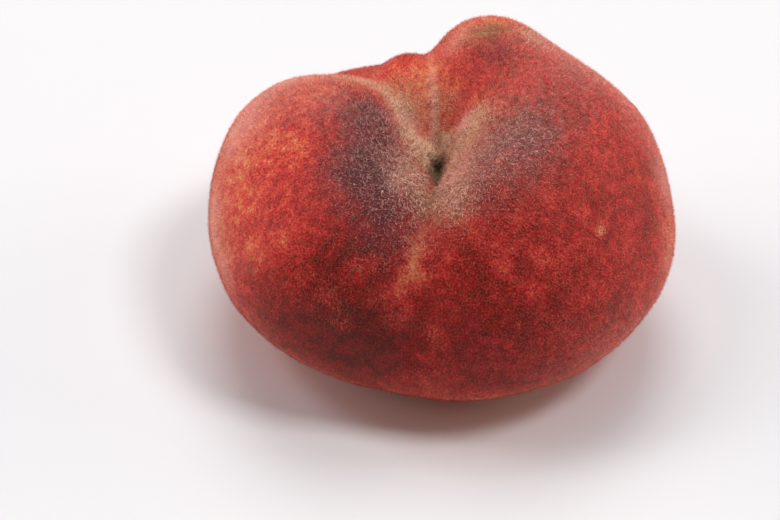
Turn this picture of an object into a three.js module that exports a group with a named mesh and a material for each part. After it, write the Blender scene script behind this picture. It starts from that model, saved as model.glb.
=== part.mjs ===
// A flat peach (doughnut peach), as picked, lying on its blossom end.
//
// The fruit is one grown piece: skin, flesh and the stone inside. It is a squat, slightly
// lopsided ball, drawn in by a deep stem pit on top, a suture cleft on its far side and softer
// folds between its lobes, with a shallow blossom dimple underneath. It lies on three low points
// round that dimple, where it has pressed itself flat.
//
// Millimetres, +Z up, +X to the right, +Y to the far side where the suture runs. The origin is
// under the middle of the fruit, on the surface that it lies on.

import * as THREE from 'three';
import { mergeVertices } from 'three/addons/utils/BufferGeometryUtils.js';

// ---- Driving dimensions -------------------------------------------------------------------

// The plain body: a ball with its widest ring at EQUATOR_HEIGHT.
const HALF_WIDTH = 33.3;
const HALF_DEPTH = 31.1;
const EQUATOR_HEIGHT = 17.5;
const CROWN_ABOVE_EQUATOR = 23.4;
const BASE_BELOW_EQUATOR = 18.0;

// Lopsidedness of the plan: cosine and sine parts of one to four waves round the fruit, as
// shares of its radius.
const PLAN_WAVES = [
  [0.002, 0.021],
  [0.018, -0.051],
  [0.016, -0.008],
  [0.008, 0.014],
];

// Lobes swell the skin outwards round a point, and fade over their reach.
const LOBES = {
  farRight: { at: [5.2, 17.5, 33], reach: 11.1, height: 6.7 },
  farLeft: { at: [-5.6, 17.4, 31], reach: 6.9, height: 2.6 },
  left: { at: [-22.8, 8.8, 34], reach: 13.2, height: 3.6 },
  right: { at: [5.7, -1.8, 34], reach: 15.6, height: 8.8 },
  backRight: { at: [25.7, 10.0, 32], reach: 10.8, height: 2.7 },
  frontLeft: { at: [-19.5, -18.2, 27], reach: 12.6, height: 3.6 },
};

// Folds run out from the stem pit along a bearing, counted from +X towards +Y. Each has a
// depth and a half width, which may widen by a share of the way out, and a rounded bottom. It
// starts at a distance from the pit's axis, and fades between two angles down from the crown.
const FOLDS = {
  suture: { bearing: 93.9, depth: 5.2, halfWidth: 4.6, rounding: 1.0, starts: 1, fades: [102, 143] },
  leftFold: {
    bearing: 121.6, depth: 6.2, halfWidth: 3.9, widening: 0.2, rounding: 1.5, starts: 4, fades: [45, 82],
  },
  frontHollow: { bearing: 264, depth: 3.4, halfWidth: 8.0, rounding: 3.0, starts: 0, fades: [72, 117] },
  rightFold: {
    bearing: 46, depth: 1.6, halfWidth: 4.0, widening: 0.2, rounding: 2.0, starts: 4, fades: [18, 46],
  },
  frontCrease: {
    bearing: 268, bend: -3.2, depth: 4.0, halfWidth: 2.0, rounding: 0.8, starts: -6, fades: [14, 59],
  },
};
const FOLD_START_BLEND = 5; // half the distance over which a fold comes in
const BEND_AT = 20; // distance out at which a bent fold has moved sideways by its bend

// The stem pit: a wide bowl, and the narrow hole that the stem came out of.
const STEM_BOWL = { depth: 8.5, halfWidth: 8.0, halfLength: 9.5, centre: [0, 0] };
const STEM_HOLE = { depth: 3.4, halfWidth: 1.3, halfLength: 2.2, centre: [-0.2, -1.5] };

// The blossom dimple underneath.
const BLOSSOM_DIMPLE = { depth: 6.0, halfWidth: 11.0 };

// The three low points that the fruit lies on, and the level that they are pressed flat to,
// measured in the plain body's height.
const FEET = [
  { bearing: 95, height: 1.3 },
  { bearing: 215, height: 1.55 },
  { bearing: 335, height: 1.0 },
];
const FOOT_CIRCLE_RADIUS = 17.0;
const FOOT_CENTRE_HEIGHT = 2.0;
const FOOT_REACH = 8.0;
const REST_LEVEL = 1.7;

// The mesh: columns round the fruit, and rings that stand closer together near the stem pit.
const COLUMNS = 80;
const RINGS = 52;
const RING_PACKING = 1.35;

// ---- Surface ------------------------------------------------------------------------------

const radians = THREE.MathUtils.degToRad;
const smoothstep = THREE.MathUtils.smoothstep;

/** Radius of the plan at an azimuth, as a share of the plain ellipse: 1 plus its waves. */
function planShare(azimuth) {
  return PLAN_WAVES.reduce(
    (share, [cosine, sine], i) =>
      share + cosine * Math.cos((i + 1) * azimuth) + sine * Math.sin((i + 1) * azimuth),
    1,
  );
}

/** Point and outward normal of the plain body at an azimuth and an angle down from the crown. */
function plainBody(azimuth, fromCrown) {
  const reach = planShare(azimuth) * Math.sin(fromCrown);
  const halfHeight = Math.cos(fromCrown) > 0 ? CROWN_ABOVE_EQUATOR : BASE_BELOW_EQUATOR;
  const rise = halfHeight * Math.cos(fromCrown);
  const point = new THREE.Vector3(
    HALF_WIDTH * reach * Math.cos(azimuth),
    HALF_DEPTH * reach * Math.sin(azimuth),
    EQUATOR_HEIGHT + rise,
  );
  const normal = new THREE.Vector3(
    point.x / HALF_WIDTH ** 2,
    point.y / HALF_DEPTH ** 2,
    rise / halfHeight ** 2,
  ).normalize();
  return { point, normal };
}

/** Height of a lobe at a point: a bell of the distance from the lobe's centre. */
function lobeHeight(point, { at, reach, height }) {
  const distance = point.distanceTo(new THREE.Vector3(...at));
  return height * Math.exp(-((distance / reach) ** 2));
}

/** Depth of a fold at a point: it falls off to both sides of the fold's line, from a rounded
 *  bottom, comes in where the fold starts and fades down the side of the fruit. */
function foldDepth(point, fromCrown, fold) {
  const { bearing, bend = 0, depth, halfWidth, widening = 0, rounding, starts, fades } = fold;
  const turn = radians(bearing);
  const out = point.x * Math.cos(turn) + point.y * Math.sin(turn);
  const straightAside = point.y * Math.cos(turn) - point.x * Math.sin(turn);
  const aside = straightAside - bend * (out / BEND_AT) ** 2;
  const fromBottom = Math.hypot(aside, rounding) - rounding;
  const section = Math.exp(-fromBottom / (halfWidth + widening * Math.max(out, 0)));
  const begun = smoothstep(out, starts - FOLD_START_BLEND, starts + FOLD_START_BLEND);
  const left = 1 - smoothstep(THREE.MathUtils.radToDeg(fromCrown), ...fades);
  return depth * section * begun * left;
}

/** Depth of an oval hollow at a point: a bell of the distance from its centre. */
function hollowDepth(point, { depth, halfWidth, halfLength = halfWidth, centre = [0, 0] }) {
  const across = (point.x - centre[0]) / halfWidth;
  const along = (point.y - centre[1]) / halfLength;
  return depth * Math.exp(-(across ** 2) - along ** 2);
}

const feet = FEET.map(({ bearing, height }) => ({
  at: [
    FOOT_CIRCLE_RADIUS * Math.cos(radians(bearing)),
    FOOT_CIRCLE_RADIUS * Math.sin(radians(bearing)),
    FOOT_CENTRE_HEIGHT,
  ],
  reach: FOOT_REACH,
  height,
}));
const swellings = [...Object.values(LOBES), ...feet];

/** Point of the skin at an azimuth and an angle down from the crown: the plain body, swollen by
 *  the lobes and drawn in by the folds along its normal, then sunk by the stem pit or raised by
 *  the blossom dimple, and pressed flat where it would reach below the rest level. */
function skinPoint(azimuth, fromCrown) {
  const { point, normal } = plainBody(azimuth, fromCrown);
  const swelling = swellings.reduce((sum, lobe) => sum + lobeHeight(point, lobe), 0);
  const sinking = Object.values(FOLDS).reduce((sum, fold) => sum + foldDepth(point, fromCrown, fold), 0);
  const hollow =
    Math.cos(fromCrown) > 0
      ? hollowDepth(point, STEM_BOWL) + hollowDepth(point, STEM_HOLE)
      : -hollowDepth(point, BLOSSOM_DIMPLE);
  point.addScaledVector(normal, swelling - sinking);
  point.z = Math.max(point.z - hollow - REST_LEVEL, 0);
  return point;
}

/** The whole skin: a ball's grid of columns and rings, with each corner moved to the skin. */
function peachGeometry() {
  const grid = new THREE.SphereGeometry(1, COLUMNS, RINGS);
  const position = grid.getAttribute('position');
  for (let ring = 0; ring <= RINGS; ring += 1) {
    const fromCrown = Math.PI * (ring / RINGS) ** RING_PACKING;
    for (let column = 0; column <= COLUMNS; column += 1) {
      const azimuth = (2 * Math.PI * (column % COLUMNS)) / COLUMNS;
      const point = skinPoint(azimuth, fromCrown);
      position.setXYZ(ring * (COLUMNS + 1) + column, point.x, point.y, point.z);
    }
  }
  grid.deleteAttribute('normal');
  grid.deleteAttribute('uv');
  const skin = mergeVertices(grid);
  skin.computeBoundingBox();
  const middle = skin.boundingBox.getCenter(new THREE.Vector3());
  skin.translate(-middle.x, -middle.y, 0);
  skin.computeVertexNormals();
  return skin;
}

// ---- Part ---------------------------------------------------------------------------------

const peachSkin = new THREE.MeshStandardMaterial({ color: '#a03238', roughness: 0.75, metalness: 0 });

const peach = new THREE.Mesh(peachGeometry(), peachSkin);
peach.name = 'peach';

const part = new THREE.Group();
part.add(peach);

export default part;
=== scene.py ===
import bpy
import numpy as np
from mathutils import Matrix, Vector


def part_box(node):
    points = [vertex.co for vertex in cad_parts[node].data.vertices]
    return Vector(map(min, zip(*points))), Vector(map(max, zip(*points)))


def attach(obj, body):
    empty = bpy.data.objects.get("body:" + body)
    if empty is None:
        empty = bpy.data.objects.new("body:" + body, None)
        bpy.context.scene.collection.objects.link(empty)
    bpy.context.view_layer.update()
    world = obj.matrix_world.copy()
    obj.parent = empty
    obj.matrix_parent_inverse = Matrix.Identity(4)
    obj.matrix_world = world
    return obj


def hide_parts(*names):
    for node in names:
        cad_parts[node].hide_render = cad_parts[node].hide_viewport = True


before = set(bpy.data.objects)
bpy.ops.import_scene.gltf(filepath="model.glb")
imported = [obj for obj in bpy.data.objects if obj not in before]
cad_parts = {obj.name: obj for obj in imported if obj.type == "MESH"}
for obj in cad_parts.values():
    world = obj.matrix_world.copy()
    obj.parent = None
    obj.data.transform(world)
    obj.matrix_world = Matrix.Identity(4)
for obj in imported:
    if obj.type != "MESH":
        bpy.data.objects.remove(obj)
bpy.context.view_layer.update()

# ==== The fruit's form ========================================================================
# A flat peach grows as one piece: a squat ball that is drawn in by the stem pit on top, by the
# suture on its far side and by softer folds between its lobes. It lies on three low points
# round the blossom dimple.

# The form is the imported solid's own, worked out on a finer grid, with a seam and slight swells.

MM = 0.001  # metres in a millimetre; the sizes below are millimetres

HALF_WIDTH = 33.3
HALF_DEPTH = 31.1
EQUATOR_HEIGHT = 17.5
CROWN_ABOVE_EQUATOR = 23.4
BASE_BELOW_EQUATOR = 18.0
# Cosine and sine parts of one to four waves round the fruit, as shares of its radius.
PLAN_WAVES = [(0.002, 0.021), (0.018, -0.051), (0.016, -0.008), (0.008, 0.014)]

LOBES = {
    "far right": dict(at=(5.2, 17.5, 33), reach=11.1, height=6.7),
    "far left": dict(at=(-5.6, 17.4, 31), reach=6.9, height=2.6),
    "left": dict(at=(-22.8, 8.8, 34), reach=13.2, height=3.6),
    "right": dict(at=(5.7, -1.8, 34), reach=15.6, height=8.8),
    "back right": dict(at=(25.7, 10.0, 32), reach=10.8, height=2.7),
    "front left": dict(at=(-19.5, -18.2, 27), reach=12.6, height=3.6),
}
FEET = {95: 1.3, 215: 1.55, 335: 1.0}  # bearing in degrees, and height
FOOT_CIRCLE_RADIUS = 17.0
FOOT_CENTRE_HEIGHT = 2.0
FOOT_REACH = 8.0
REST_LEVEL = 1.7  # the feet are pressed flat at this height of the ball
for bearing, height in FEET.items():
    turn = np.radians(bearing)
    middle = (FOOT_CIRCLE_RADIUS * np.cos(turn), FOOT_CIRCLE_RADIUS * np.sin(turn), FOOT_CENTRE_HEIGHT)
    LOBES[f"foot {bearing}"] = dict(at=middle, reach=FOOT_REACH, height=height)

# A fold starts at a distance out from the pit's axis, and fades between two angles down from the
# crown. A bend moves it aside by that much at the distance BEND_AT.
FOLDS = {
    "suture": dict(bearing=93.9, depth=5.2, half_width=4.6, rounding=1.0, starts=1, fades=(102, 143)),
    "left": dict(
        bearing=121.6, depth=6.2, half_width=3.9, widening=0.2, rounding=1.5, starts=4, fades=(45, 82)
    ),
    "front hollow": dict(bearing=264, depth=3.4, half_width=8.0, rounding=3.0, starts=0, fades=(72, 117)),
    "right": dict(
        bearing=46, depth=1.6, half_width=4.0, widening=0.2, rounding=2.0, starts=4, fades=(18, 46)
    ),
    "front crease": dict(
        bearing=268, bend=-3.2, depth=4.0, half_width=2.0, rounding=0.8, starts=-6, fades=(14, 59)
    ),
    # The seam is a thin raised line at the bottom of the suture, which runs on down to the dimple.
    "seam": dict(bearing=93.9, depth=-0.2, half_width=0.5, rounding=0.25, starts=3, fades=(150, 172)),
}
FOLD_START_BLEND = 5  # half the distance over which a fold comes in
BEND_AT = 20

STEM_BOWL = dict(depth=8.5, half_width=8.0, half_length=9.5, centre=(0, 0))
STEM_HOLE = dict(depth=3.4, half_width=1.3, half_length=2.2, centre=(-0.2, -1.5))
BLOSSOM_DIMPLE = dict(depth=6.0, half_width=11.0, half_length=11.0, centre=(0, 0))

# Slight swells of the flesh under the skin.
SWELL_COUNT = 24
SWELL_LENGTHS = (6.0, 14.0)
SWELL_HEIGHT = 0.10
SWELL_SEED = 7


def ease(value, low, high):
    """Rises from 0 to 1 between low and high, level at both ends."""
    share = np.clip((value - low) / (high - low), 0, 1)
    return share * share * (3 - 2 * share)


def bell(points, at, reach):
    """1 at a point and falling off round it: e to the minus square of distance over reach."""
    return np.exp(-((points - np.array(at)) ** 2).sum(-1) / reach**2)


def hollow(x, y, depth, half_width, half_length, centre):
    """Depth of an oval hollow: a bell of the distance from its centre, across and along."""
    across = (x - centre[0]) / half_width
    along = (y - centre[1]) / half_length
    return depth * np.exp(-(across**2) - along**2)


def fold_depth(x, y, degrees, bearing, depth, half_width, rounding, starts, fades, bend=0, widening=0):
    """Depth of a fold that runs out from the pit along a bearing: it falls off to both sides of
    its line from a rounded bottom, comes in where it starts and fades down the fruit's side."""
    turn = np.radians(bearing)
    out = x * np.cos(turn) + y * np.sin(turn)
    aside = y * np.cos(turn) - x * np.sin(turn) - bend * (out / BEND_AT) ** 2
    from_bottom = np.hypot(aside, rounding) - rounding
    section = np.exp(-from_bottom / (half_width + widening * np.maximum(out, 0)))
    begun = ease(out, starts - FOLD_START_BLEND, starts + FOLD_START_BLEND)
    return depth * section * begun * (1 - ease(degrees, *fades))


def unevenness(points):
    """Low swells: sine waves of random directions and lengths, added up and divided by the root
    of their number."""
    draw = np.random.default_rng(SWELL_SEED)
    ways = draw.normal(size=(SWELL_COUNT, 3))
    ways /= np.linalg.norm(ways, axis=1, keepdims=True)
    ways *= 2 * np.pi / draw.uniform(*SWELL_LENGTHS, (SWELL_COUNT, 1))
    phases = draw.uniform(0, 2 * np.pi, SWELL_COUNT)
    waves = np.sin(points @ ways.T + phases).sum(-1) / np.sqrt(SWELL_COUNT)
    return SWELL_HEIGHT * waves


def fruit_surface(azimuth, from_crown):
    """Points of the skin for angles round the fruit and down from its crown: an ellipsoid with
    waves in its plan, swollen by the lobes and drawn in by the folds along its normal, then
    sunk by the pit or raised by the dimple, and pressed flat below the rest level."""
    share = 1 + sum(
        cosine * np.cos(k * azimuth) + sine * np.sin(k * azimuth)
        for k, (cosine, sine) in enumerate(PLAN_WAVES, 1)
    )
    upper = np.cos(from_crown) > 0
    half_height = np.where(upper, CROWN_ABOVE_EQUATOR, BASE_BELOW_EQUATOR)
    x = HALF_WIDTH * share * np.sin(from_crown) * np.cos(azimuth)
    y = HALF_DEPTH * share * np.sin(from_crown) * np.sin(azimuth)
    rise = half_height * np.cos(from_crown)
    points = np.stack([x, y, EQUATOR_HEIGHT + rise], -1)
    normals = np.stack([x / HALF_WIDTH**2, y / HALF_DEPTH**2, rise / half_height**2], -1)
    normals /= np.linalg.norm(normals, axis=-1, keepdims=True)
    outward = sum(lobe["height"] * bell(points, lobe["at"], lobe["reach"]) for lobe in LOBES.values())
    degrees = np.degrees(from_crown)
    outward = outward - sum(fold_depth(x, y, degrees, **fold) for fold in FOLDS.values())
    outward = outward + unevenness(points)
    pit = hollow(x, y, **STEM_BOWL) + hollow(x, y, **STEM_HOLE)
    sunk = np.where(upper, pit, -hollow(x, y, **BLOSSOM_DIMPLE))
    points = points + normals * outward[..., None]
    points[..., 2] = np.maximum(points[..., 2] - sunk - REST_LEVEL, 0)
    return points


COLUMNS = 380
RINGS = 260
RING_PACKING = 1.35  # above 1, the rings stand closer together near the stem pit

azimuth = 2 * np.pi * np.arange(COLUMNS)[None, :] / COLUMNS
from_crown = np.pi * (np.arange(RINGS + 1)[:, None] / RINGS) ** RING_PACKING
skin_grid = fruit_surface(azimuth + 0 * from_crown, from_crown + 0 * azimuth)

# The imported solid's box says where the fruit's middle is.
low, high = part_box("peach")
plan = skin_grid[..., :2]
sideways = (np.array(low + high)[:2] / MM - plan.min((0, 1)) - plan.max((0, 1))) / 2
plan += sideways

# ==== The skin's ripening =====================================================================
# The sun and the leaves left their marks while the fruit hung: red pigment over the yellow
# ground, plum-coloured shoulders, a pale bloom, thick down in the folds and some green. Paler
# pigment, bloom and down also stand as painted sheen along the fruit's edges, as painted light
# in the shaded walls of the stem pit and along the seam, and as painted light bounced from the
# table low on the front.

# Each kind has an even level and soft patches added to it: a place, a reach and a strength.
EVEN_LEVELS = {"pigment_and_painted_light": 0.57, "plum": 0.0, "bloom_and_painted_light": 0.0, "downy_and_painted_light": 0.15, "green": 0.0}
FULLEST = 1.2  # no kind goes further than this
PATCHES = {
    "pigment_and_painted_light": [
        ((-2.1, 13.2, 34.2), 3.8, -0.26),  # along the seam in the suture
        ((-1.3, 8.6, 32.5), 3.6, -0.22),
        ((-8.5, 14.0, 34.5), 4.0, -0.12),
        ((-3.4, -18.5, 31.8), 1.8, -0.25),  # along the front crease
        ((-4.1, -20.8, 30.0), 1.7, -0.38),
        ((-4.5, -22.6, 28.5), 1.6, -0.42),
        ((-4.6, -23.9, 27.0), 1.6, -0.32),
        ((-1.5, -24.5, 27.0), 4.0, -0.08),
        ((-32.0, -8.0, 22.0), 7.5, -0.26),  # left edge: paler, as painted sheen of the down
        ((-29.5, -1.0, 29.5), 5.0, -0.08),
        ((-31.0, 6.0, 28.0), 6.0, -0.16),
        ((-26.2, -17.6, 27.5), 4.0, -0.14),  # left lobe
        ((-21.6, -3.4, 36.0), 3.0, -0.14),
        ((-15.0, 6.0, 38.0), 5.0, -0.12),
        ((-25.0, -8.0, 32.0), 9.0, -0.11),
        ((-13.5, -21.0, 31.5), 4.5, 0.16),
        ((-11.5, -22.6, 30.0), 1.7, -0.24),  # flecks on the left lobe's front
        ((-13.2, -23.9, 28.3), 1.6, -0.08),
        ((-16.1, -24.9, 25.9), 1.7, -0.30),
        ((-14.3, -26.4, 22.3), 1.6, -0.26),
        ((-9.1, -25.3, 25.6), 1.8, -0.24),
        ((-6.8, -24.3, 26.9), 1.7, -0.26),
        ((-6.8, -26.3, 22.2), 1.8, -0.30),
        ((-4.9, -25.7, 23.3), 1.6, -0.24),
        ((-1.7, -26.8, 21.3), 1.8, -0.28),
        ((-27.3, -16.8, 26.4), 2.0, -0.14),
        ((-20.0, -23.9, 25.6), 2.5, -0.10),
        ((-21.7, -18.5, 31.0), 2.2, -0.20),
        ((-24.2, -22.4, 22.8), 2.8, -0.12),
        ((-21.4, -24.5, 21.0), 3.0, 0.10),
        ((6.8, 16.0, 40.2), 4.6, -0.40),  # top of the far right lobe, and redder below it
        ((6.0, 12.5, 41.2), 3.5, 0.2),
        ((12.0, 4.0, 40.0), 9.0, 0.06),  # right lobe
        ((20.0, -14.0, 32.0), 14.0, 0.10),
        ((10.1, -1.6, 42.2), 0.5, 0.8),  # specks on the right lobe
        ((13.3, -3.0, 42.5), 0.4, 0.7),
        ((19.2, -16.3, 33.4), 1.5, -0.22),  # flecks on the right lobe's front
        ((21.7, -16.8, 30.8), 0.9, -0.50),
        ((14.4, -22.5, 30.2), 2.6, -0.18),
        ((7.8, -23.5, 30.8), 2.2, -0.16),
        ((21.3, -22.2, 25.0), 2.8, -0.16),
        ((5.4, -24.1, 29.8), 1.8, 0.14),
        ((10.2, -23.6, 30.4), 1.5, 0.14),
        ((15.4, -25.3, 25.5), 1.8, 0.20),
        ((34.0, -8.0, 20.0), 5.0, -0.20),  # right edge: paler, as painted sheen of the down, and deeper just inside it
        ((30.5, -10.0, 27.0), 3.5, 0.14),
        ((-17.0, -24.0, 22.0), 11.0, 0.26),  # darker low on the front
        ((-6.0, -27.0, 20.0), 9.0, 0.12),
        ((0.0, -28.0, 22.0), 12.0, 0.12),
        ((10.0, -28.0, 16.0), 12.0, 0.10),
        ((-25.0, -22.0, 18.0), 6.0, 0.12),
        ((-13.0, -27.0, 19.7), 5.0, 0.12),
        ((24.0, -22.5, 18.0), 6.0, 0.12),
        ((-14.6, -26.4, 12.4), 5.0, 0.14),
        ((8.0, -29.5, 13.5), 5.0, 0.12),
        ((14.0, -28.5, 13.0), 5.0, 0.18),
        ((9.0, -25.0, 4.0), 12.0, -0.34),  # yellower near the table: the ground colour, and painted light bounced up from the table
        ((6.0, 30.0, 12.0), 18.0, 0.20),  # far side
        ((0.0, 0.0, -6.0), 22.0, -0.50),  # underside
    ],
    "plum": [
        ((-10.2, -0.5, 37.7), 6.5, 0.62),  # left lobe's shoulder
        ((-9.1, 2.1, 36.2), 2.5, 0.25),
        ((-9.0, -8.5, 37.0), 7.0, 0.58),
        ((-8.6, -14.5, 35.0), 6.5, 0.48),
        ((-8.0, -20.5, 31.6), 6.0, 0.36),
        ((-15.2, -11.0, 36.7), 4.5, 0.35),
        ((-15.0, 4.0, 38.0), 6.0, 0.22),
        ((7.5, 11.0, 41.5), 5.0, 0.42),  # far right lobe, below its top
        ((7.5, -8.6, 40.8), 6.5, 0.58),  # right lobe's crown
        ((13.7, -8.0, 40.6), 6.0, 0.36),
        ((4.0, -15.4, 37.0), 5.5, 0.42),
        ((18.0, 3.0, 40.0), 7.5, 0.34),
        ((4.1, -29.8, 16.1), 4.5, 0.16),  # low on the front
        ((16.5, -26.5, 21.9), 3.6, 0.24),
        ((-23.0, -23.6, 19.3), 3.2, 0.15),
        ((-27.3, -18.3, 24.8), 1.6, 0.45),
        ((18.0, 22.0, 22.0), 10.0, 0.40),  # far side
        ((-24.0, 18.0, 20.0), 8.0, 0.35),
    ],
    "bloom_and_painted_light": [
        ((-31.5, 6.0, 28.0), 6.0, 0.40),  # painted sheen of the down along the left edge, from the far side to the front
        ((-28.0, 3.0, 32.0), 7.0, 0.35),
        ((-24.0, 12.5, 33.0), 6.0, 0.55),
        ((-16.0, 14.5, 35.0), 5.0, 0.35),
        ((-34.0, -4.0, 21.0), 5.0, 0.65),
        ((-32.5, -12.5, 18.5), 4.5, 0.55),
        ((-18.0, 3.0, 38.0), 6.0, 0.25),  # painted sheen on the left lobe's crown
        ((14.0, 2.0, 41.0), 13.0, 0.20),  # painted sheen over the right lobes
        ((6.0, -11.0, 39.0), 8.0, 0.22),
        ((-4.9, 5.9, 31.2), 2.4, 0.70),  # foot of the left fold
        ((1.4, 15.4, 37.6), 3.0, 0.35),  # painted sheen along the far right lobe's edge
        ((4.3, 16.6, 39.6), 3.0, 0.26),
        ((12.8, 15.0, 39.8), 3.0, 0.10),
        ((0.9, 0.0, 29.5), 2.0, 0.80),  # painted light on the shaded right wall of the stem pit
        ((2.8, -0.4, 35.0), 2.6, 0.80),
        ((1.5, -12.0, 37.0), 3.0, 0.30),  # walls of the front crease
        ((0.4, -15.8, 35.4), 2.6, 0.22),
        ((-6.4, -12.4, 36.2), 1.8, 0.40),
        ((15.0, 15.0, 38.5), 4.5, 0.18),  # painted sheen of the down along the right lobe's edge, from the far side to the front
        ((21.0, 12.0, 36.5), 7.0, 0.28),
        ((29.0, 7.0, 31.0), 7.0, 0.30),
        ((33.0, -1.0, 25.0), 5.0, 0.45),
        ((34.0, -11.0, 17.0), 5.0, 0.32),
        ((26.0, -22.5, 15.0), 7.0, 0.22),
        ((16.0, -27.0, 12.0), 8.0, 0.14),
    ],
    "downy_and_painted_light": [
        ((-12.5, 11.8, 34.5), 3.4, 0.35),  # band down the left fold
        ((-8.3, 11.0, 33.4), 3.4, 0.45),
        ((-5.8, 6.5, 32.4), 3.4, 0.75),
        ((-4.6, 0.5, 32.5), 3.2, 0.7),
        ((-3.8, -4.0, 33.4), 3.4, 0.7),
        ((-1.5, 13.0, 34.0), 4.5, 0.22),  # thin in the suture
        ((-1.0, 7.5, 31.5), 4.5, 0.22),
        ((-0.9, 1.5, 27.8), 2.6, 0.8),  # far wall of the stem pit: thick down, made paler as painted light in the pit's shade
        ((-0.5, 3.1, 28.2), 2.6, 0.5),
        ((0.7, 0.7, 30.0), 3.0, 0.6),  # right wall of the stem pit and up the right fold: thick down, and painted light on the pit's shaded wall
        ((2.4, -4.0, 35.8), 3.4, 0.8),
        ((1.6, -0.8, 31.8), 2.2, 0.5),
        ((4.8, -1.0, 38.0), 3.4, 0.6),
        ((1.4, 6.9, 34.2), 3.0, 0.30),
        ((-5.2, -10.8, 35.4), 3.8, 0.55),  # walls of the front crease
        ((-2.9, -14.6, 32.9), 3.0, 0.45),
        ((1.5, -10.5, 36.0), 3.4, 0.75),
        ((1.0, -14.0, 36.2), 2.8, 0.35),
        ((1.5, -17.0, 35.0), 3.6, 0.45),
        ((-3.8, -19.6, 31.0), 2.2, 0.30),
        ((-4.5, -22.8, 28.3), 1.6, 0.15),
        ((8.5, -8.0, 40.8), 7.5, 0.30),  # thin over both plum shoulders
        ((-9.0, -7.0, 37.5), 7.5, 0.14),
        ((3.5, 17.0, 39.3), 4.0, 0.35),  # far right lobe's edge: down, and painted sheen along the edge
        ((13.0, 15.0, 39.8), 4.0, 0.50),
        ((34.0, -8.0, 20.0), 5.0, 0.35),  # right edge: a tan band of painted sheen
        ((-28.0, 9.0, 30.0), 9.0, 0.15),  # left lobe's far edge: down, and painted sheen along the edge
        ((-18.0, 10.0, 37.0), 8.0, 0.25),
        ((-11.5, -22.6, 30.0), 1.9, 0.12),  # flecks on both lobes' fronts
        ((-16.0, -24.8, 26.2), 2.0, 0.12),
        ((-8.6, -25.2, 25.7), 2.0, 0.14),
        ((-14.3, -26.3, 22.6), 2.0, 0.15),
        ((-6.7, -26.1, 22.8), 2.0, 0.16),
        ((-1.7, -27.0, 20.5), 1.7, 0.24),
        ((21.7, -16.8, 30.8), 0.9, 0.50),
        ((0.0, -30.0, 18.0), 15.0, -0.14),  # low on the front
        ((-1.0, -29.2, 10.8), 4.0, 0.30),
        ((0.0, 0.0, 5.0), 5.0, 0.6),  # blossom dimple
    ],
    "green": [
        ((-0.6, -2.2, 28.0), 3.1, 1.3),  # stem hole and the start of the front crease
        ((-0.9, -6.5, 31.8), 2.2, 1.1),
        ((-0.4, -9.5, 33.6), 1.5, 1.0),
        ((-2.7, -14.0, 32.5), 2.4, 0.3),
        ((5.0, 15.0, 40.0), 3.2, 0.46),  # top of the far right lobe
        ((8.6, 15.6, 40.4), 3.0, 0.46),
        ((13.5, 15.0, 39.4), 2.6, 0.30),
        ((0.0, 0.0, 4.0), 2.5, 0.8),  # blossom dimple
    ],
}

# Down gathers along the bottom of the seam, and the skin is paler there. The pale line is made
# stronger than that as painted light, where the suture's groove lies in shade. The line starts in
# the stem pit, and is faint from the top down to the dimple.
SEAM_LINES = {
    "downy_and_painted_light": dict(half_width=0.8, strength=0.2, lower_share=0.15),
    "bloom_and_painted_light": dict(half_width=0.65, strength=1.15, lower_share=0.25),
}
SEAM_LINE_STARTS = (2, 5)  # distances out from the pit's axis
SEAM_LINE_THINS = (6, 16)


def beside_seam(points, half_width, strength, lower_share):
    """A line along the seam: its strength times a bell of the distance beside it, on the far
    side of the pit only, less beyond the top."""
    turn = np.radians(FOLDS["seam"]["bearing"])
    x, y = np.moveaxis(points[..., :2] - sideways, -1, 0)
    out = x * np.cos(turn) + y * np.sin(turn)
    aside = y * np.cos(turn) - x * np.sin(turn)
    thinned = 1 - (1 - lower_share) * ease(out, *SEAM_LINE_THINS)
    return strength * np.exp(-((aside / half_width) ** 2)) * ease(out, *SEAM_LINE_STARTS) * thinned


def ripeness_and_painted_light(points, kind):
    """How far one kind of ripening, or of the painted sheen and light laid on with it, has gone at each
    point: its even level, its patches' bells, each times its strength, and its line beside the seam,
    held between 0 and the fullest."""
    total = EVEN_LEVELS[kind] + sum(
        strength * bell(points, at, reach) for at, reach, strength in PATCHES[kind]
    )
    if kind in SEAM_LINES:
        total = total + beside_seam(points, **SEAM_LINES[kind])
    return np.clip(total, 0, FULLEST)


# ==== The skin ================================================================================
# A thin skin grown tight over the flesh, with no join. It is one closed surface: rings round
# the stem pit's axis, each a little lower than the last, and one point at each end.


def closed_faces(rings, columns):
    """Faces of a closed grid and the map place of each face corner. A fan of triangles closes
    each end, and quads join the rings between. The map runs once round and once down."""
    step = np.arange(columns)
    after = (step + 1) % columns
    start = 1 + columns * np.arange(rings - 1)[:, None]
    upper, lower = start[:-1], start[1:]
    quads = np.stack([upper + step, lower + step, lower + after, upper + after], -1).reshape(-1, 4)
    last = 1 + columns * (rings - 1)
    top = np.stack([0 * step, 1 + step, 1 + after], -1)
    bottom = np.stack([0 * step + last, start[-1] + after, start[-1] + step], -1)
    here, there = step / columns, (step + 1) / columns
    down = 1 - np.arange(1, rings)[:, None] / rings
    corners = [(here, down[:-1]), (here, down[1:]), (there, down[1:]), (there, down[:-1])]
    quad_map = np.stack([np.stack(np.broadcast_arrays(u, v), -1) for u, v in corners], -2)
    middle = (here + there) / 2
    top_map = np.stack([middle, 0 * step + 1.0, here, 0 * step + down[0], there, 0 * step + down[0]], -1)
    bottom_map = np.stack([middle, 0.0 * step, there, 0 * step + down[-1], here, 0 * step + down[-1]], -1)
    faces = top.tolist() + quads.tolist() + bottom.tolist()
    return faces, np.concatenate([top_map.ravel(), quad_map.ravel(), bottom_map.ravel()])


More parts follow.
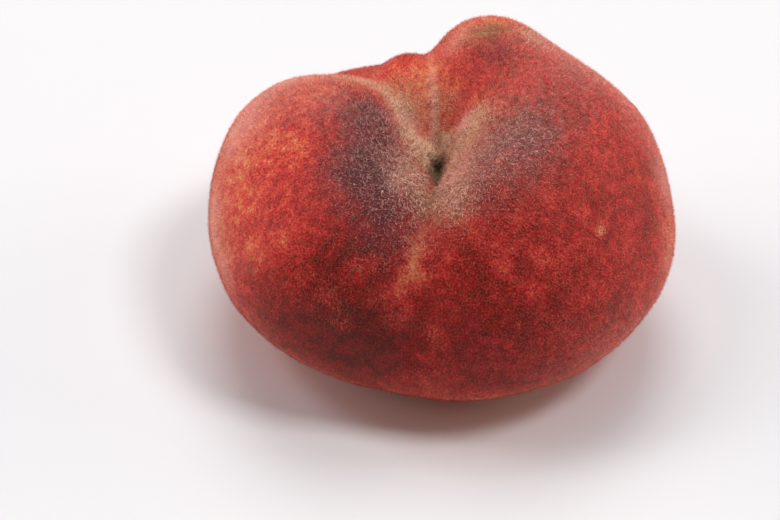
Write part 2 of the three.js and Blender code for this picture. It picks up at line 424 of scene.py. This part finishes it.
def add_piece(name, points, faces, corner_map, values):
    """A mesh object at the origin from points in millimetres, with a map for baking and one
    attribute for each named value."""
    mesh = bpy.data.meshes.new(name)
    mesh.from_pydata((points * MM).tolist(), [], faces)
    mesh.uv_layers.new(name="OFBake").data.foreach_set("uv", corner_map.astype(np.float32).ravel())
    for label, value in values.items():
        attribute = mesh.attributes.new(label, "FLOAT", "POINT")
        attribute.data.foreach_set("value", value.astype(np.float32).ravel())
    piece = bpy.data.objects.new(name, mesh)
    bpy.context.scene.collection.objects.link(piece)
    return piece


skin_points = np.concatenate([skin_grid[:1, 0], skin_grid[1:-1].reshape(-1, 3), skin_grid[-1:, 0]])
skin_faces, skin_map = closed_faces(RINGS, COLUMNS)
skin_values = {kind: ripeness_and_painted_light(skin_points, kind) for kind in PATCHES}
skin = add_piece("peach_skin", skin_points, skin_faces, skin_map, skin_values)
skin.data.shade_smooth()


def linear(colour):
    """sRGB hex to a linear colour with full alpha."""
    shares = np.array([int(colour[i : i + 2], 16) / 255 for i in (1, 3, 5)])
    light = np.where(shares <= 0.04045, shares / 12.92, ((shares + 0.055) / 1.055) ** 2.4)
    return (*light.tolist(), 1.0)


def add_node(material, kind, settings=None, **inputs):
    """Adds one node to a material. Settings are the node's own fields. Each input, named with
    underscores for spaces or by number, is a value or another node's output to link."""
    node = material.node_tree.nodes.new(kind)
    for field, value in (settings or {}).items():
        setattr(node, field, value)
    for name, value in inputs.items():
        key = int(name[1:]) if name[0] == "i" and name[1:].isdigit() else name.replace("_", " ")
        if isinstance(value, bpy.types.NodeSocket):
            material.node_tree.links.new(value, node.inputs[key])
        else:
            node.inputs[key].default_value = value
    return node


def blend(material, share, under, over):
    """The output that goes from under to over as share goes from 0 to 1."""
    settings = dict(data_type="RGBA", clamp_factor=True)
    return add_node(material, "ShaderNodeMix", settings, i0=share, i6=under, i7=over).outputs[2]


def reading(material, label):
    """The output of one of the mesh's named values."""
    settings = dict(attribute_name=label)
    return add_node(material, "ShaderNodeAttribute", settings).outputs["Fac"]


def arithmetic(material, operation, *terms):
    """The output of one arithmetic step on two or three values."""
    inputs = {f"i{number}": term for number, term in enumerate(terms)}
    return add_node(material, "ShaderNodeMath", dict(operation=operation), **inputs).outputs[0]


def moved(material, places, shift):
    """The same places moved aside in millimetres, so that two patterns don't coincide."""
    vector = dict(i1=tuple(MM * step for step in shift))
    return add_node(material, "ShaderNodeVectorMath", dict(operation="ADD"), i0=places, **vector).outputs[0]


def mottled(material, value, places, shift, grain, strength, detail=4.0):
    """A value made uneven: noise with the given grain in millimetres, centred on nothing, times
    the strength, is added to it. The shift keeps one noise from another."""
    noise = add_node(
        material,
        "ShaderNodeTexNoise",
        Vector=moved(material, places, shift),
        Scale=1 / (grain * MM),
        Detail=detail,
        Roughness=0.6,
    )
    centred = arithmetic(material, "SUBTRACT", noise.outputs["Fac"], 0.5)
    return arithmetic(material, "MULTIPLY_ADD", centred, strength, value)


def soft_step(material, value, low, high):
    """The output that rises smoothly from 0 at low to 1 at high."""
    settings = dict(interpolation_type="SMOOTHSTEP")
    return add_node(
        material, "ShaderNodeMapRange", settings, Value=value, From_Min=low, From_Max=high
    ).outputs[0]


# Ripe peach skin: a waxy skin with pigment in its cells. The more red pigment there is over the
# yellow ground, the deeper the colour, from cream through orange and red to crimson. Plum skin
# has the darkest pigment, bloom is pale wax, and the stem pit keeps some green. The pale bloom
# colour, and the pale ends of the pigment and down, are also laid on as painted sheen along the
# fruit's edges and as painted light in the shaded walls of the stem pit and the seam.
PIGMENT_COLOURS = {0.0: "#E4A87A", 0.25: "#DE7048", 0.46: "#CE2F2F", 0.7: "#A01612", 1.0: "#69120C"}
PIGMENT_MOTTLES = [  # broad, small and fine
    dict(shift=(0, 0, 0), grain=6.0, strength=0.4, detail=2.0),
    dict(shift=(31, 7, 3), grain=1.6, strength=0.66, detail=1.0),
    dict(shift=(5, 23, 11), grain=0.35, strength=0.5, detail=0.0),
]
# What lies over the pigment, from the bottom up, the levels between which it comes in, and its
# mottle.
OVERLAYS = {
    "plum": dict(colour="#4C1D29", comes_in=(0.0, 1.1), shift=(3, 5, 29), grain=2.4, strength=0.6),
    # the pale bloom colour is also the painted sheen at the edges and the painted light in shaded hollows
    "bloom_and_painted_light": dict(colour="#F6BFAE", comes_in=(0.0, 1.2), shift=(9, 14, 1), grain=0.8, strength=0.6),
    # the down's tan colour is also painted sheen along the edges and painted light in the stem pit
    "downy_and_painted_light": dict(colour="#BE8560", comes_in=(0.25, 1.2), shift=(13, 2, 17), grain=0.7, strength=0.9),
    "green": dict(colour="#776644", comes_in=(0.1, 1.0), shift=(2, 19, 7), grain=0.9, strength=0.6),
}


def overlaid(material, under, kind, places, colour, comes_in, **mottle):
    """A colour over the one under it, coming in as the mottled level of its kind rises."""
    level = mottled(material, reading(material, kind), places, **mottle)
    return blend(material, soft_step(material, level, *comes_in), under, linear(colour))


def skin_colour(material, places):
    """The skin's colour at each place: the mottled pigment picks a colour from the ramp, and the
    overlays cover it in their order."""
    pigment_and_painted_light = reading(material, "pigment_and_painted_light")
    for mottle in PIGMENT_MOTTLES:
        pigment_and_painted_light = mottled(material, pigment_and_painted_light, places, **mottle)
    ramp = add_node(material, "ShaderNodeValToRGB", Fac=pigment_and_painted_light)
    stops = ramp.color_ramp.elements
    while len(stops) < len(PIGMENT_COLOURS):
        stops.new(0.5)
    for stop, (amount, colour) in zip(stops, PIGMENT_COLOURS.items()):
        stop.position = amount
        stop.color = linear(colour)
    colour = ramp.outputs["Color"]
    for kind, overlay in OVERLAYS.items():
        colour = overlaid(material, colour, kind, places, **overlay)
    return colour


def dots(material, places, spacing, size):
    """Rounded dots scattered at a mean spacing in millimetres: 1 at each dot's middle, down to 0
    at its edge, which is the given share of the spacing away."""
    cells = add_node(material, "ShaderNodeTexVoronoi", Vector=places, Scale=1 / (spacing * MM))
    return arithmetic(material, "SUBTRACT", 1.0, soft_step(material, cells.outputs["Distance"], 0.0, size))


flesh_skin = bpy.data.materials.new("ripe_peach_skin")
flesh_skin.use_nodes = True
flesh_skin.node_tree.nodes.clear()
places = add_node(flesh_skin, "ShaderNodeTexCoord").outputs["Object"]
colour = skin_colour(flesh_skin, places)

# Stubble and pores are a few hundredths of a millimetre across. They are drawn coarser, so that
# they show. Stubble shows most where there is little pigment.
STUBBLE_CREAM = linear("#E88C6A")
PORE_RED = linear("#5A0E12")
STUBBLE_COVER = 0.8
STUBBLE_LOST = 0.7  # cover lost where the pigment is full
PORE_COVER = 0.85
RELIEF_HEIGHT = 0.08
stubble = dots(flesh_skin, moved(flesh_skin, places, (4, 1, 9)), spacing=0.32, size=0.5)
pores = dots(flesh_skin, places, spacing=0.42, size=0.45)
thinned = arithmetic(
    flesh_skin, "MULTIPLY_ADD", reading(flesh_skin, "pigment_and_painted_light"), -STUBBLE_LOST, STUBBLE_COVER
)
colour = blend(flesh_skin, arithmetic(flesh_skin, "MULTIPLY", stubble, thinned), colour, STUBBLE_CREAM)
colour = blend(flesh_skin, arithmetic(flesh_skin, "MULTIPLY", pores, PORE_COVER), colour, PORE_RED)
raised = arithmetic(flesh_skin, "SUBTRACT", stubble, pores)
relief = add_node(flesh_skin, "ShaderNodeBump", Strength=0.4, Distance=RELIEF_HEIGHT * MM, Height=raised)
surface = add_node(
    flesh_skin,
    "ShaderNodeBsdfPrincipled",
    Base_Color=colour,
    Roughness=0.6,
    IOR=1.45,
    Specular_IOR_Level=0.3,
    Sheen_Weight=0.6,
    Sheen_Roughness=0.3,
    Sheen_Tint=linear("#FFCDBA"),
    Normal=relief.outputs[0],
)
add_node(flesh_skin, "ShaderNodeOutputMaterial", Surface=surface.outputs[0])
skin.data.materials.append(flesh_skin)
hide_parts("peach")
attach(skin, "root")

# ==== The down ================================================================================
# A peach's down is a felt of short pale hairs that grow out of the skin and lean every way.
# Each hair here is a slim closed spike, drawn about twice as thick as the real one so that it
# shows. The down is kept in four pieces, one for each quarter of the fruit.

HAIRS_A_QUARTER = 49500
HAIR_LENGTHS = (0.2, 0.6)
HAIR_WIDTH = 0.042
HAIR_SUNK = 0.06
HAIR_LEANS = (5, 65)  # degrees from upright
COMBED_OUT = 0.8  # how far hairs lean away from the stem pit, beside their random lean
DOWNY_CROWDING = 1.2  # how many times more hairs stand where the down is thick
BARE_BELOW = 0.7  # height up to which the surface that the fruit lies on has rubbed it bare
LOWEST_TIP = 0.02

# Hairs are felted where the down is thick, and partly so on plum skin: longer, thicker and lying
# flatter.
PLUM_FELTING = 0.4
FLATTENED = 22  # degrees by which felted hairs lean further
FELTED_LENGTH = (0.8, 0.8)  # times the drawn length: unfelted, and what felting adds
FELTED_WIDTH = (0.9, 1.3)

# How pale the palest hairs are: a level, and what each kind of ripening adds. Where bloom and
# down are raised as painted sheen and light, the hairs are paler too. Each hair's own paleness is a
# random share of it, raised to a power so that few hairs come near it.
PALE_LEVEL = 0.72
PALER_BY = {"pigment_and_painted_light": -0.48, "downy_and_painted_light": 2.2, "plum": 0.24, "bloom_and_painted_light": 0.5}
PALE_POWER = 1.5

normals = np.empty(len(skin_points) * 3, np.float32)
skin.data.vertices.foreach_get("normal", normals)
skin_normals = normals.reshape(-1, 3).astype(float)
normal_grid = np.concatenate(
    [
        np.repeat(skin_normals[:1], COLUMNS, 0)[None],
        skin_normals[1:-1].reshape(RINGS - 1, COLUMNS, 3),
        np.repeat(skin_normals[-1:], COLUMNS, 0)[None],
    ]
)


def between_corners(grid, ring, column, along, around):
    """A value inside a cell of a grid, between its four corners."""
    after = (column + 1) % COLUMNS
    along, around = along[:, None], around[:, None]
    upper = grid[ring, column] * (1 - around) + grid[ring, after] * around
    lower = grid[ring + 1, column] * (1 - around) + grid[ring + 1, after] * around
    return upper * (1 - along) + lower * along


def unit(vectors):
    """The same directions with length 1."""
    return vectors / np.linalg.norm(vectors, axis=-1, keepdims=True)


SLANTED = [0.31, 0.52, 0.8]  # any direction that hairs hardly ever have


def hair_points(roots, ways, lengths, widths):
    """Four points a hair: three round its root, at right angles to its way and sunk into the
    skin, and its tip."""
    aside = unit(np.cross(ways, SLANTED))
    across = np.cross(ways, aside)
    foot = roots - ways * HAIR_SUNK
    ring = [
        foot + widths[:, None] / 2 * (aside * np.cos(turn) + across * np.sin(turn))
        for turn in np.radians((0, 120, 240))
    ]
    return np.stack([*ring, roots + ways * lengths[:, None]], 1)


def hair_cells(draw, columns):
    """The ring and column of each hair's cell, drawn from a quarter's cells by area, more in the
    downy folds and none where the fruit is rubbed bare."""
    after = (columns + 1) % COLUMNS
    slope = skin_grid[1:, columns] - skin_grid[:-1, after]
    other = skin_grid[1:, after] - skin_grid[:-1, columns]
    area = np.linalg.norm(np.cross(slope, other), axis=-1) / 2
    middles = (skin_grid[1:, columns] + skin_grid[:-1, after]) / 2
    crowding = area * (1 + DOWNY_CROWDING * ripeness_and_painted_light(middles, "downy_and_painted_light")) * (middles[..., 2] > BARE_BELOW)
    cells = draw.choice(crowding.size, HAIRS_A_QUARTER, p=(crowding / crowding.sum()).ravel())
    return cells // len(columns), columns[cells % len(columns)]


def hair_ways(draw, roots, upright, felted):
    """Each hair's direction: the skin's normal leant over by a random angle, more where felted,
    towards a random side, more often away from the stem pit."""
    lean = np.radians(draw.uniform(*HAIR_LEANS, len(roots)) + FLATTENED * np.clip(felted, 0, 1))[:, None]
    away = roots * (1, 1, 0) / np.maximum(np.linalg.norm(roots[:, :2], axis=1), 1)[:, None]
    towards = draw.normal(size=(len(roots), 3)) + COMBED_OUT * away
    side = unit(towards - upright * (towards * upright).sum(1, keepdims=True))
    return upright * np.cos(lean) + side * np.sin(lean)


def by_felting(shares, felted):
    """The unfelted share, and what felting adds to it."""
    unfelted, added = shares
    return unfelted + added * felted


def down_quarter(first_column, seed):
    """Points of a quarter's hairs, and their named values: how ripe the skin is at each root, and
    how pale each hair is, which is less on green skin."""
    draw = np.random.default_rng(seed)
    columns = (first_column + np.arange(COLUMNS // 4)) % COLUMNS
    ring, column = hair_cells(draw, columns)
    along, around = draw.random((2, HAIRS_A_QUARTER))
    roots = between_corners(skin_grid, ring, column, along, around)
    upright = unit(between_corners(normal_grid, ring, column, along, around))
    values = {kind: ripeness_and_painted_light(roots, kind) for kind in PATCHES}
    felted = values["downy_and_painted_light"] + PLUM_FELTING * values["plum"]
    ways = hair_ways(draw, roots, upright, felted)
    lengths = draw.uniform(*HAIR_LENGTHS, HAIRS_A_QUARTER) * by_felting(FELTED_LENGTH, felted)
    points = hair_points(roots, ways, lengths, HAIR_WIDTH * by_felting(FELTED_WIDTH, felted))
    points[..., 2] = np.maximum(points[..., 2], LOWEST_TIP)
    palest = PALE_LEVEL + sum(share * values[kind] for kind, share in PALER_BY.items())
    green_left = np.maximum(1 - values["green"], 0)
    values["paleness"] = draw.random(HAIRS_A_QUARTER) ** PALE_POWER * palest * green_left
    return points.reshape(-1, 3), {kind: np.repeat(value, 4) for kind, value in values.items()}


def hair_faces(count):
    """Faces and map of closed spikes: three sides and a base each, and a map cell each."""
    spike = np.array([[0, 1, 3], [1, 2, 3], [2, 0, 3], [0, 2, 1]])
    faces = (4 * np.arange(count)[:, None, None] + spike).reshape(-1, 3)
    across = int(np.ceil(np.sqrt(count)))
    cell = np.stack([np.arange(count) % across, np.arange(count) // across], -1)
    corners_in_cell = np.array([[0.1, 0.1], [0.9, 0.1], [0.5, 0.9], [0.5, 0.4]])
    places = (cell[:, None, :] + corners_in_cell) / across
    return faces, places.reshape(-1, 2)[faces.ravel()]


# Hair: clear walls with air inside, so it takes the colour of the skin that it stands on, and
# shows cream where many stand together or where light comes through them.
HAIR_CREAM = linear("#FFE2C0")
HAIR_SALMON = linear("#FFA584")
HAIR_PINK = linear("#FFD2C8")
down_hair = bpy.data.materials.new("peach_down")
down_hair.use_nodes = True
down_hair.node_tree.nodes.clear()
places = add_node(down_hair, "ShaderNodeTexCoord").outputs["Object"]
under = skin_colour(down_hair, places)
pale_share = soft_step(down_hair, reading(down_hair, "paleness"), 0.0, 1.0)
# Hairs turn cream where the down is thick and pink on plum skin and bloom. Both levels also carry the
# painted sheen and light of the edges and the stem pit.
tint = blend(down_hair, soft_step(down_hair, reading(down_hair, "downy_and_painted_light"), 0.2, 0.9), HAIR_SALMON, HAIR_CREAM)
rosy = arithmetic(down_hair, "ADD", reading(down_hair, "plum"), reading(down_hair, "bloom_and_painted_light"))
tint = blend(down_hair, soft_step(down_hair, rosy, 0.0, 1.0), tint, HAIR_PINK)
hair_colour = blend(down_hair, pale_share, under, tint)
strand = add_node(
    down_hair,
    "ShaderNodeBsdfPrincipled",
    Base_Color=hair_colour,
    Roughness=0.55,
    Specular_IOR_Level=0.4,
    Sheen_Weight=0.4,
    Sheen_Roughness=0.5,
    Sheen_Tint=linear("#FFD6C4"),
)
add_node(down_hair, "ShaderNodeOutputMaterial", Surface=strand.outputs[0])

QUARTERS = {"right": 335, "far": 50, "left": 145, "front": 240}  # each quarter's first column
FIRST_SEED = 100
spikes, spike_map = hair_faces(HAIRS_A_QUARTER)
for quarter, (side_name, first_column) in enumerate(QUARTERS.items()):
    points, values = down_quarter(first_column, FIRST_SEED + quarter)
    down = add_piece(f"down_{side_name}", points, spikes.tolist(), spike_map, values)
    down.data.materials.append(down_hair)
    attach(down, "root")

# ==== The studio ==============================================================================
# A plain pale table that runs out into a white room. The fruit is lit from behind and from both
# sides, high and low.

TABLE_HALF = 1.5  # metres, as the other sizes of the studio
TABLE_FADES = (0.5, 1.4)
table_corners = [(x * TABLE_HALF, y * TABLE_HALF, 0) for x, y in ((-1, -1), (1, -1), (1, 1), (-1, 1))]
table_mesh = bpy.data.meshes.new("table_top")
table_mesh.from_pydata(table_corners, [], [(0, 1, 2, 3)])
table_top = bpy.data.objects.new("table_top", table_mesh)
bpy.context.scene.collection.objects.link(table_top)
white_board = bpy.data.materials.new("white_board")
white_board.use_nodes = True
white_board.node_tree.nodes.clear()
from_middle = add_node(
    white_board,
    "ShaderNodeVectorMath",
    dict(operation="LENGTH"),
    i0=add_node(white_board, "ShaderNodeTexCoord").outputs["Object"],
).outputs["Value"]
solid = arithmetic(white_board, "SUBTRACT", 1.0, soft_step(white_board, from_middle, *TABLE_FADES))
board = add_node(
    white_board, "ShaderNodeBsdfPrincipled", Base_Color=linear("#EBECEF"), Roughness=0.7, Alpha=solid
)
add_node(white_board, "ShaderNodeOutputMaterial", Surface=board.outputs[0])
table_mesh.materials.append(white_board)

LIGHT_DISTANCE = 1.6
SOFT_BOXES = {  # bearing from straight behind towards the left, height in degrees
    "left_box": dict(bearing=78, height=54, side=0.5, power=5.0, tint="#FFFFFF"),
    "left_panel": dict(bearing=80, height=18, side=1.0, power=12.0, tint="#FFE9DC"),
    "right_box": dict(bearing=-105, height=62, side=0.4, power=9.0, tint="#FFFFFF"),
    "right_panel": dict(bearing=-80, height=18, side=1.0, power=9.0, tint="#FFE9DC"),
    "back_box": dict(bearing=0, height=62, side=0.8, power=8.9, tint="#FBFEFF"),
    "ceiling_box": dict(bearing=0, height=72, side=1.4, power=5.9, tint="#FBFEFF"),
}
for name, box in SOFT_BOXES.items():
    light = bpy.data.lights.new(name, "AREA")
    light.shape = "SQUARE"
    light.size = box["side"]
    light.energy = box["power"]
    light.color = linear(box["tint"])[:3]
    lamp = bpy.data.objects.new(name, light)
    bpy.context.scene.collection.objects.link(lamp)
    turn, rise = np.radians(box["bearing"]), np.radians(box["height"])
    towards = Vector((-np.sin(turn) * np.cos(rise), np.cos(turn) * np.cos(rise), np.sin(rise)))
    lamp.location = towards * LIGHT_DISTANCE
    lamp.rotation_euler = towards.to_track_quat("Z", "Y").to_euler()

# The room's walls look white, but are too far off to light the fruit much.
WALL_BRIGHTNESS = 0.95
WALL_LIGHT = 0.01
world = bpy.data.worlds.new("white_room")
bpy.context.scene.world = world
world.use_nodes = True
world.node_tree.nodes.clear()
seen = add_node(world, "ShaderNodeLightPath").outputs["Is Camera Ray"]
strength = add_node(world, "ShaderNodeMapRange", Value=seen, To_Min=WALL_LIGHT, To_Max=WALL_BRIGHTNESS)
walls = add_node(world, "ShaderNodeBackground", Color=(1, 1, 1, 1), Strength=strength.outputs[0])
add_node(world, "ShaderNodeOutputWorld", Surface=walls.outputs[0])
bpy.context.scene.view_settings.view_transform = "Standard"

VIEW_ELEVATION = 45.0
VIEW_DISTANCE = 334.0  # millimetres, as the aim
AIM = (-7.6, 3.75, 4.5)
LENS = 100.0
lens = bpy.data.cameras.new("camera")
lens.lens = LENS
lens.sensor_width = 36.0
lens.clip_start = 0.01
camera = bpy.data.objects.new("camera", lens)
bpy.context.scene.collection.objects.link(camera)
tilt = np.radians(VIEW_ELEVATION)
looking = Vector((0, np.cos(tilt), -np.sin(tilt)))
camera.location = Vector(AIM) * MM - looking * VIEW_DISTANCE * MM
camera.rotation_euler = looking.to_track_quat("-Z", "Y").to_euler()
bpy.context.scene.camera = camera
